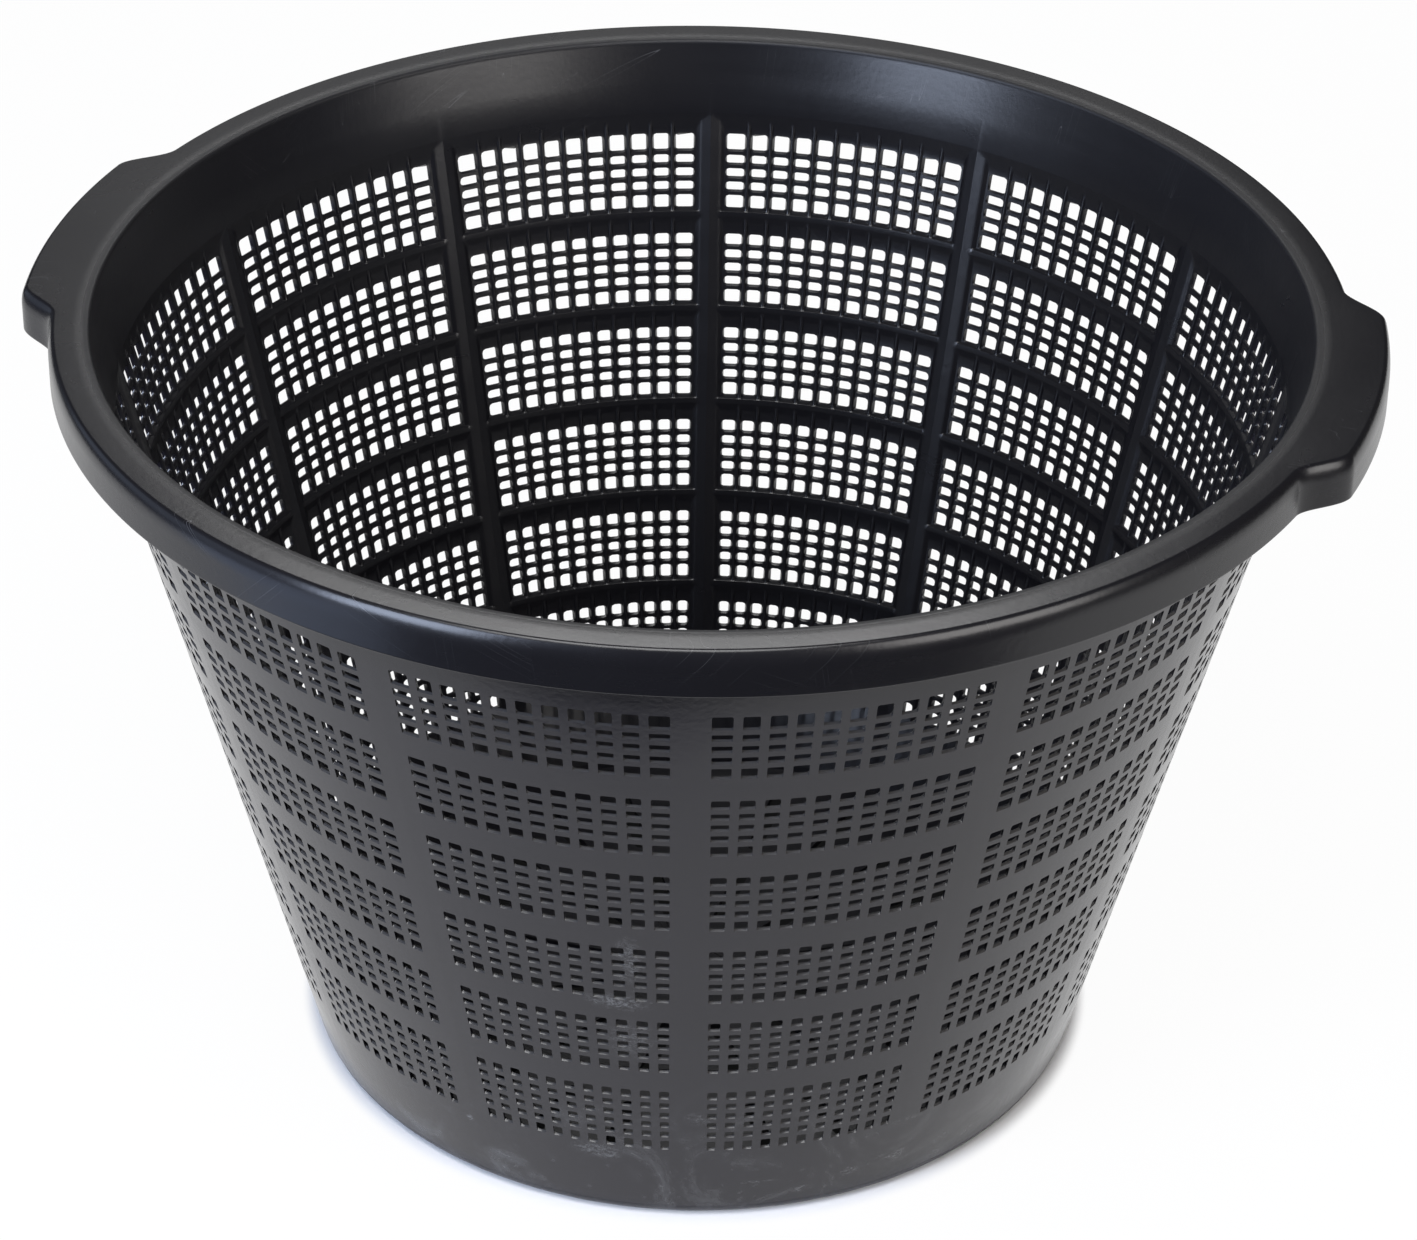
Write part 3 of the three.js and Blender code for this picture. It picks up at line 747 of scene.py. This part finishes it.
columns = floor_columns()
column_starts = np.arange(outer_slots) * (4 + len(between_slots))
row_starts = 1 + 4 * np.arange(len(slot_rows))
wall_inside = foot_radius - foot_band
under_side = floor_rows(0.0, [(flat_radius, 0.0), *(tuple(p) for p in corner_out), (foot_radius, wall_foot)])
upper_side = floor_rows(floor_top, [
    (flat_radius, floor_top), (wall_inside - 1.2, floor_top),
    (wall_inside - 0.3, floor_top + 0.4), (wall_inside, wall_foot)])
slots_open = np.stack([np.arange(outer_slots) % 2 == 0, np.ones(outer_slots, dtype=bool)], axis=1)
floor_points, floor_faces, under_grid, upper_grid = pierced_sheet(
    (columns, under_side, column_starts, row_starts, place_floor),
    (columns, upper_side, column_starts, row_starts, place_floor), slots_open)
joined = np.arange(len(floor_points))        # the last column of points is the first one again
joined[under_grid[-1]], joined[upper_grid[-1]] = under_grid[0], upper_grid[0]
foot_land = np.stack(
    [under_grid[:-1, -1], under_grid[1:, -1], upper_grid[1:, -1], upper_grid[:-1, -1]], axis=1)
floor_faces += [foot_land, under_grid[-2::-1, 0], upper_grid[:-1, 0]]
floor = make_mesh("floor_plate_round", floor_points, [joined[faces] for faces in floor_faces])
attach(floor, "root")
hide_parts("floor_plate")
base_scuffs = [((0, -131, 26), (12, 8, 6), 0.6)]
floor_plastic = charcoal_plastic("floor_charcoal_plastic", outside_roughness=0.34, haze=1.0, scratches=0.5,
                                 dust_amount=0.5, scuffs=base_scuffs, ior=1.33)
floor.data.materials.append(floor_plastic)


# Table, lights and camera. The basket stands on a plain white table in a dim studio, lit by soft boxes at the
# front left and front right, behind and overhead, and by dim cards that show as reflections in the rim. The
# camera looks down over the rim through a long lens.

table_side, table_front, table_back = 0.9, -0.30, 1.1
table_mesh = bpy.data.meshes.new("white_table")
table_mesh.from_pydata(
    [(-table_side, table_front, 0), (table_side, table_front, 0),
     (table_side, table_back, 0), (-table_side, table_back, 0)], [], [(0, 1, 2, 3)])
table = bpy.data.objects.new("white_table", table_mesh)
bpy.context.scene.collection.objects.link(table)

# The camera and the reflections see the table as glowing white clear of the base, and as paper close to it,
# painted dark as shadow under the base.
painted_shadow_in, painted_shadow_out = 0.114, 0.122
glow_in, glow_out, glow_share = 0.126, 0.132, 0.96
table_white = bpy.data.materials.new("table_white")
table_white.use_nodes = True
tree = table_white.node_tree
tree.nodes.remove(tree.nodes["Principled BSDF"])
path = node(tree, "LightPath").outputs
mirrored = maths(tree, "MAXIMUM", path["Is Glossy Ray"], path["Is Transmission Ray"])
seen = maths(tree, "MAXIMUM", path["Is Camera Ray"], mirrored)
_, (x, y, _) = object_place(tree)
reach = from_axis(tree, x, y)
clear_of_base = ramp(tree, reach, glow_in, glow_out, 0.0, glow_share)
clear_of_painted_shadow = ramp(tree, reach, painted_shadow_in, painted_shadow_out)
# painted shadow: the paper turns near black under the base
paper_colour = blend(tree, clear_of_painted_shadow, (0.01, 0.01, 0.01, 1), (0.87, 0.87, 0.88, 1))
paper = node(tree, "BsdfDiffuse", {"Color": paper_colour}).outputs[0]
bright = node(tree, "Emission", {"Color": (1, 1, 1, 1), "Strength": 1.0}).outputs[0]
mixed = node(tree, "MixShader", {0: maths(tree, "MULTIPLY", seen, clear_of_base), 1: paper, 2: bright})
tree.links.new(mixed.outputs[0], tree.nodes["Material Output"].inputs["Surface"])
table_mesh.materials.append(table_white)


def soft_box(name, place, aim, size, power, colour):
    """A rectangular lamp at a place, turned to face a point, that the camera itself doesn't see."""
    lamp = bpy.data.lights.new(name, "AREA")
    lamp.shape = "RECTANGLE"
    lamp.size, lamp.size_y = size
    lamp.energy = power
    lamp.color = colour
    holder = bpy.data.objects.new(name, lamp)
    holder.location = place
    holder.rotation_euler = (Vector(aim) - Vector(place)).to_track_quat("-Z", "Y").to_euler()
    holder.visible_camera = False
    bpy.context.scene.collection.objects.link(holder)


def box_power(size, radiance):
    """Power of a rectangular lamp whose face has the given radiance: pi times area times radiance."""
    return math.pi * size[0] * size[1] * radiance


lit_point = (0, 0, 0.22)
white, cool_blue, sky_blue, pale_blue = (1, 1, 1), (0.68, 0.78, 1.0), (0.60, 0.72, 1.0), (0.66, 0.78, 1.0)
warm_white = (1.0, 0.97, 0.95)
for name, place, size, radiance, colour in (
        ("box_front_left", (-0.75, -1.15, 0.62), (0.62, 0.85), 14.0, cool_blue),
        ("low_front_left", (-0.56, -0.44, 0.01), (0.45, 0.28), 1.5, sky_blue),
        ("box_front_right", (1.15, -0.72, 0.60), (0.85, 0.80), 5.5, warm_white),
        ("box_behind", (-0.235, 0.90, 1.13), (0.45, 0.46), 4.8, white),
        ("box_overhead", (0.0, -0.75, 1.60), (1.1, 0.80), 8.0, white),
        ("dim_left_wall", (-1.9, -0.20, 0.50), (1.8, 0.9), 0.55, pale_blue),
        ("glow_behind", (-0.50, 1.50, 0.80), (1.00, 0.70), 0.40, white)):
    soft_box(name, place, lit_point, size, box_power(size, radiance), colour)

world = bpy.data.worlds.new("dim_studio")
bpy.context.scene.world = world
world.use_nodes = True
tree = world.node_tree
background = tree.nodes["Background"]
path = node(tree, "LightPath").outputs
dimness = 0.06                       # the studio's own light, while the camera sees white
strength = maths(tree, "MULTIPLY_ADD", path["Is Camera Ray"], 1.0 - dimness, dimness)
tree.links.new(strength, background.inputs["Strength"])
background.inputs["Color"].default_value = (1, 1, 1, 1)

camera_place = (286.3, -1231.5, 941.2)               # in millimetres
yaw, pitch, roll = math.radians(102.95), math.radians(32.31), math.radians(0.80)
focal_pixels, photo_width, sensor = 4669, 1417, 36.0
forward = np.array([math.cos(yaw) * math.cos(pitch), math.sin(yaw) * math.cos(pitch), -math.sin(pitch)])
right = np.array([math.sin(yaw), -math.cos(yaw), 0.0])
up = np.cross(right, forward)
right, up = math.cos(roll) * right + math.sin(roll) * up, -math.sin(roll) * right + math.cos(roll) * up
camera_data = bpy.data.cameras.new("camera")
camera_data.sensor_fit = "HORIZONTAL"
camera_data.sensor_width = sensor
camera_data.lens = focal_pixels * sensor / photo_width
camera_data.clip_end = 50
camera = bpy.data.objects.new("camera", camera_data)
bpy.context.scene.collection.objects.link(camera)
axes = np.stack([right, up, -forward], axis=1)
matrix = np.eye(4)
matrix[:3, :3] = axes
matrix[:3, 3] = np.array(camera_place) * MM
camera.matrix_world = Matrix(matrix)
bpy.context.scene.camera = camera
bpy.context.scene.view_settings.view_transform = "Standard"
